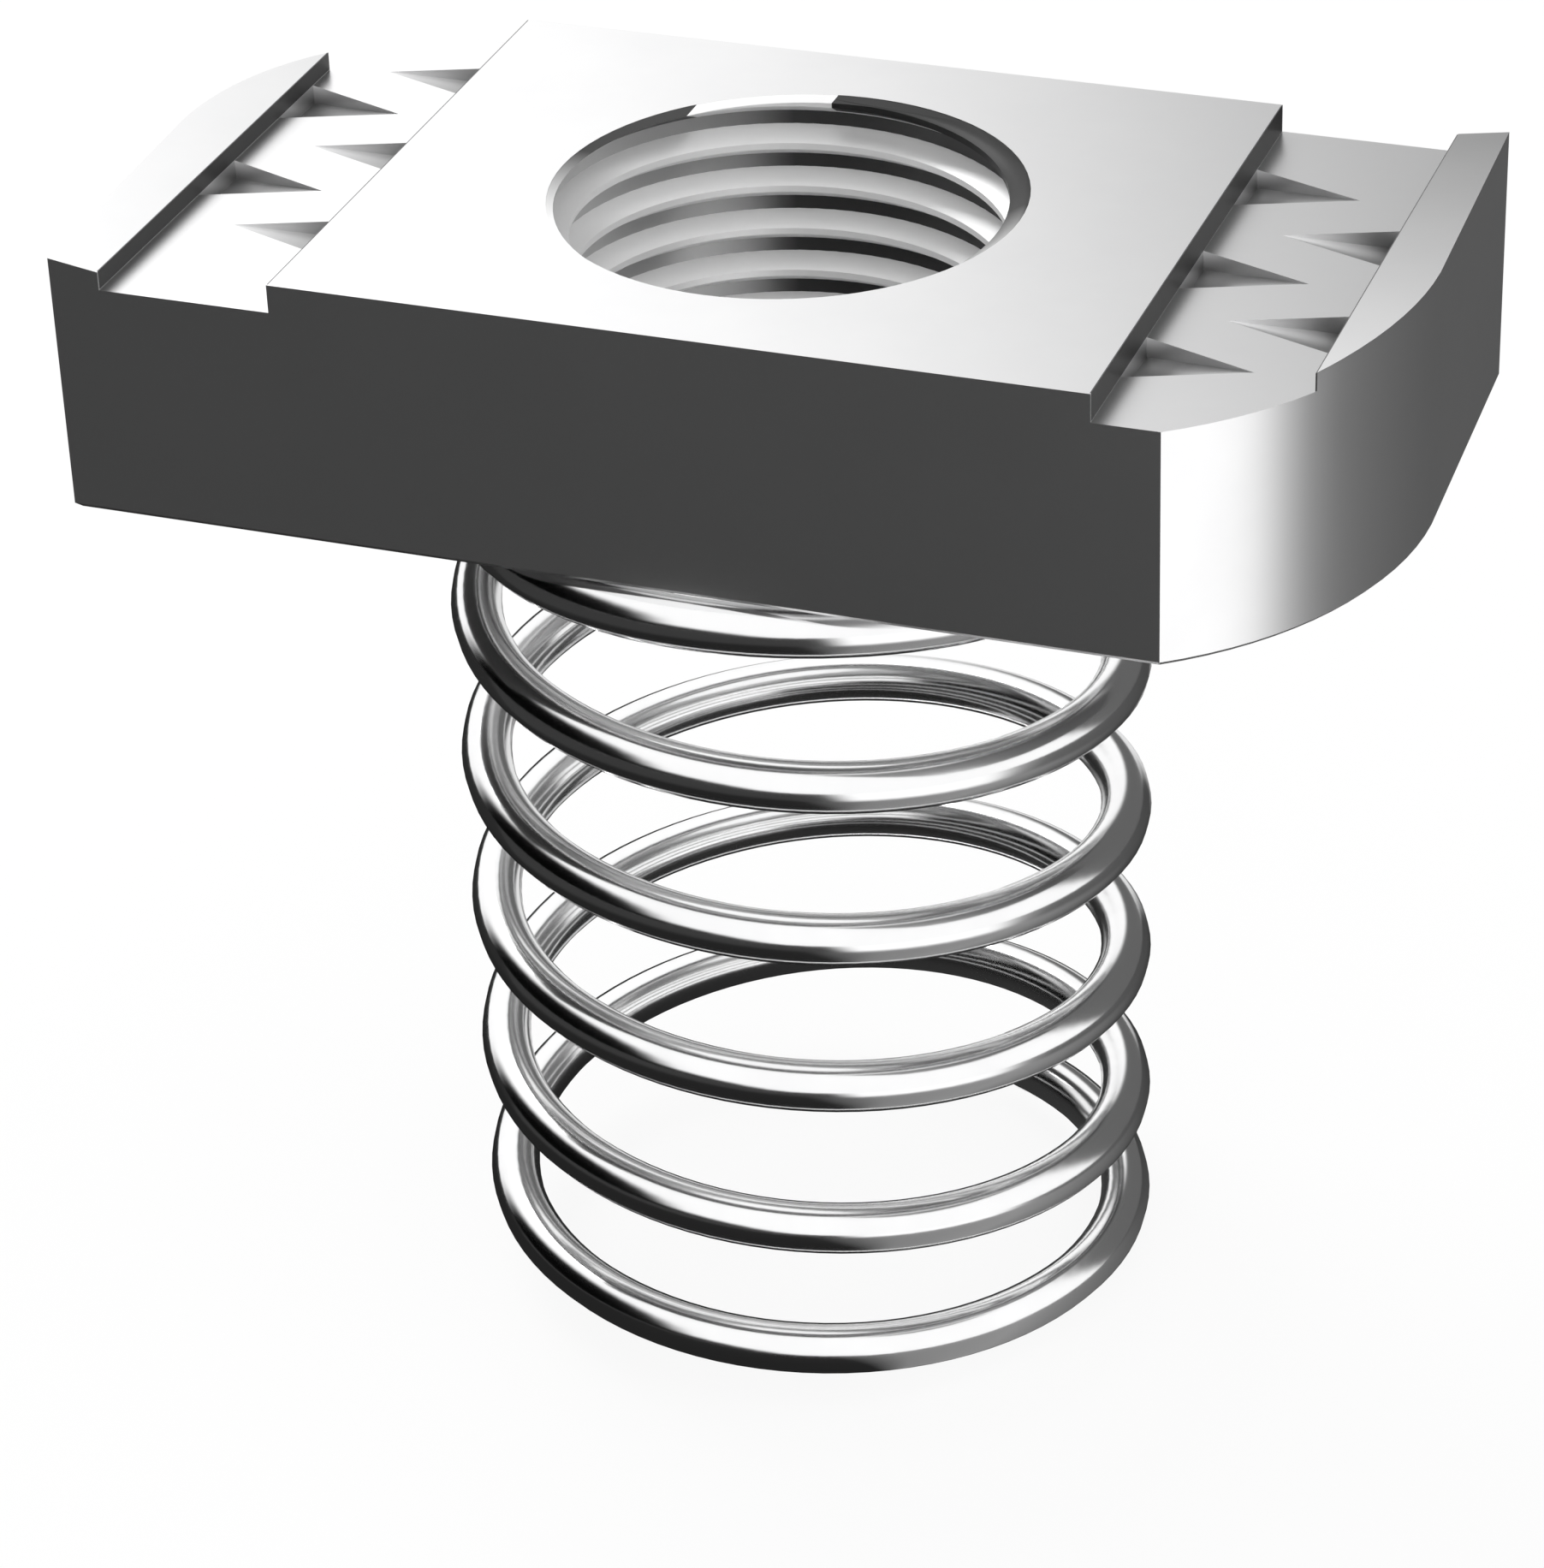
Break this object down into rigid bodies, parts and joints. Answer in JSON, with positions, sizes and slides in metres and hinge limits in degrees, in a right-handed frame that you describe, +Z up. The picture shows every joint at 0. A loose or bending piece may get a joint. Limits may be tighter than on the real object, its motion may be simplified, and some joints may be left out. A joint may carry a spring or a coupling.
{
  "type": "strut spring nut",
  "caption": "Channel nut with a threaded hole, serrated grooves and rounded opposite corners, held up in its channel by a coil spring.",
  "frame": {"origin": "on the axis of the threaded hole, level with the top of the centre land", "axes": "+Z up out of the hole, away from the spring; +X along the nut; -Y its front face"},
  "size_m": [0.0348, 0.0192, 0.0328],
  "materials": {
    "plated_steel": "zinc plated, satin",
    "spring_wire": "zinc plated, bright drawn wire"
  },
  "bodies": {
    "spring": {"spring": "spring_wire"},
    "nut": {"channel_nut": "plated_steel"}
  },
  "joints": [
    {"name": "spring_press", "type": "slide", "parent": "spring", "child": "nut", "axis": [0, 0, -1], "range_m": [0, 0.015], "stiffness_N_per_m": 1280, "deforming": ["spring"]}
  ]
}
